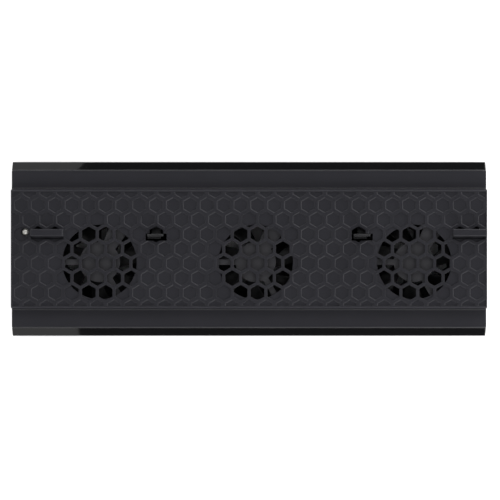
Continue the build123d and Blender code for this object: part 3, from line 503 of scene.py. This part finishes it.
def floor_material():
    """White floor: it takes light and shadow, and shows white to the camera and in reflections. Beneath the stand it
    doesn't glow, a painted shadow that fades out SHADE_OUTSIDE beyond its outline, but lights the underside a little,
    and from below it can be seen through."""
    material, tree, shader, place = start_material("white_floor")
    shader.inputs["Base Color"].default_value = (0.86, 0.86, 0.86, 1.0)
    shader.inputs["Roughness"].default_value = 0.9
    shader.inputs["Emission Color"].default_value = (1.0, 1.0, 1.0, 1.0)
    path, direct = direct_rays(tree)
    split = put(tree, "ShaderNodeSeparateXYZ", {"Vector": place}).outputs
    past_end = maths(tree, "SUBTRACT", maths(tree, "ABSOLUTE", split["X"]), HALF_LENGTH)
    past_side = maths(tree, "SUBTRACT", maths(tree, "ABSOLUTE", split["Y"]), HALF_WIDTH)
    past = maths(tree, "MAXIMUM", past_end, past_side)
    # Painted shadow: the glow rises from nothing at SHADE_INSIDE within the stand's outline to full at SHADE_OUTSIDE
    # beyond it
    outside_painted_shadow = put(tree, "ShaderNodeMapRange",
                     {"Value": past, "From Min": SHADE_INSIDE, "From Max": SHADE_OUTSIDE}).outputs[0]
    glow = maths(tree, "MULTIPLY", maths(tree, "MULTIPLY", direct, outside_painted_shadow), FLOOR_GLOW)
    beneath = maths(tree, "SUBTRACT", 1.0, outside_painted_shadow)
    bounce = maths(tree, "MULTIPLY", maths(tree, "MULTIPLY", beneath, path["Is Diffuse Ray"]), UNDER_GLOW)
    tree.links.new(maths(tree, "ADD", glow, bounce), shader.inputs["Emission Strength"])
    from_below = put(tree, "ShaderNodeNewGeometry").outputs["Backfacing"]
    see_through = put(tree, "ShaderNodeBsdfTransparent").outputs[0]
    sides = put(tree, "ShaderNodeMixShader", {0: from_below, 1: shader.outputs[0], 2: see_through})
    surface = next(node for node in tree.nodes if node.type == "OUTPUT_MATERIAL")
    tree.links.new(sides.outputs[0], surface.inputs["Surface"])
    return material


def flag_material():
    """Black cloth of the flags that keep reflections dark."""
    material, _, shader, _ = start_material("black_flag")
    shader.inputs["Base Color"].default_value = (0.01, 0.01, 0.01, 1.0)
    shader.inputs["Roughness"].default_value = 1.0
    shader.inputs["Specular IOR Level"].default_value = 0.0
    return material


def card(name, corners, material):
    """A flat four-cornered stage card."""
    mesh = bpy.data.meshes.new(name)
    mesh.from_pydata(corners, [], [(0, 1, 2, 3)])
    mesh.materials.append(material)
    piece = shown(name, mesh)
    return piece


def level_card(name, reach, height, material):
    """A square stage card about the middle, at a height."""
    corners = [(-reach, -reach, height), (reach, -reach, height), (reach, reach, height), (-reach, reach, height)]
    return card(name, corners, material)


def only_reflected(piece):
    """Makes a flag that only reflections see: it takes no light from the object and hides nothing behind it."""
    piece.visible_camera = False
    piece.visible_diffuse = False
    piece.visible_shadow = False
    piece.visible_transmission = False


level_card("floor", FLOOR_REACH, 0, floor_material())

# Side flags, whose left edge leans: edge is its place at FLAG_EDGE_HEIGHT
black = flag_material()
for name, side, edge, lean in (("flag_rear", 1, -0.1784, 0.37), ("flag_front", -1, -0.1811, 0.07)):
    y = side * FLAG_DISTANCE
    low, high = edge + lean * (FLAG_EDGE_HEIGHT - FLAG_LOW), edge - lean * (FLAG_HIGH - FLAG_EDGE_HEIGHT)
    corners = [(low, y, FLAG_LOW), (FLAG_END, y, FLAG_LOW), (FLAG_END, y, FLAG_HIGH), (high, y, FLAG_HIGH)]
    only_reflected(card(name, corners, black))
only_reflected(level_card("flag_ceiling", CEILING_REACH, CEILING_HEIGHT, black))

# White sky for the camera and reflections, and a dimmer one that lights the stand
world = bpy.data.worlds.new("studio")
bpy.context.scene.world = world
world.use_nodes = True
sky = world.node_tree
sky.nodes.clear()
_, direct = direct_rays(sky)
level = put(sky, "ShaderNodeMapRange", {"Value": direct, "To Min": SKY_LIGHT, "To Max": SKY_SEEN})
glow = put(sky, "ShaderNodeBackground", {"Color": (1.0, 1.0, 1.0, 1.0), "Strength": level.outputs[0]})
put(sky, "ShaderNodeOutputWorld", {"Surface": glow.outputs[0]})

# Rectangular area lamps: place, Euler angles in degrees, size in metres and power in watts
NARROW, WIDE = (0.20, 0.45), (1.7, 0.80)
LAMPS = {
    "key_lamp": ((0.90, 0.0, 0.17), (0, 81, 0), NARROW, 2.5),
    "rear_key_lamp": ((0.45, 0.78, 0.17), (0, 81, 60), NARROW, 2.8),
    "front_key_lamp": ((0.45, -0.78, 0.17), (0, 81, -60), NARROW, 2.8),
    "fill_lamp": ((-0.90, 0.0, 0.17), (0, -81, 0), NARROW, 0.5),
    "rear_lamp": ((0.0, 0.85, 0.65), (-53, 0, 0), WIDE, 6.0),
    "front_lamp": ((0.0, -0.85, 0.65), (53, 0, 0), WIDE, 6.0),
}
for name, (place, turn, size, watts) in LAMPS.items():
    lamp = bpy.data.lights.new(name, "AREA")
    lamp.shape = "RECTANGLE"
    lamp.size, lamp.size_y = size
    lamp.energy = watts
    holder = shown(name, lamp)
    holder.location = place
    holder.rotation_euler = tuple(radians(angle) for angle in turn)

camera_data = bpy.data.cameras.new("camera")
camera_data.sensor_width = SENSOR_WIDTH
camera_data.lens = SENSOR_WIDTH * CAMERA_ABOVE_DECK / (PHOTO_PIXELS * DECK_SCALE)
camera = shown("camera", camera_data)
camera.location = (*CAMERA_ASIDE, DECK_TOP + CAMERA_ABOVE_DECK)
bpy.context.scene.camera = camera
bpy.context.scene.view_settings.view_transform = "Standard"
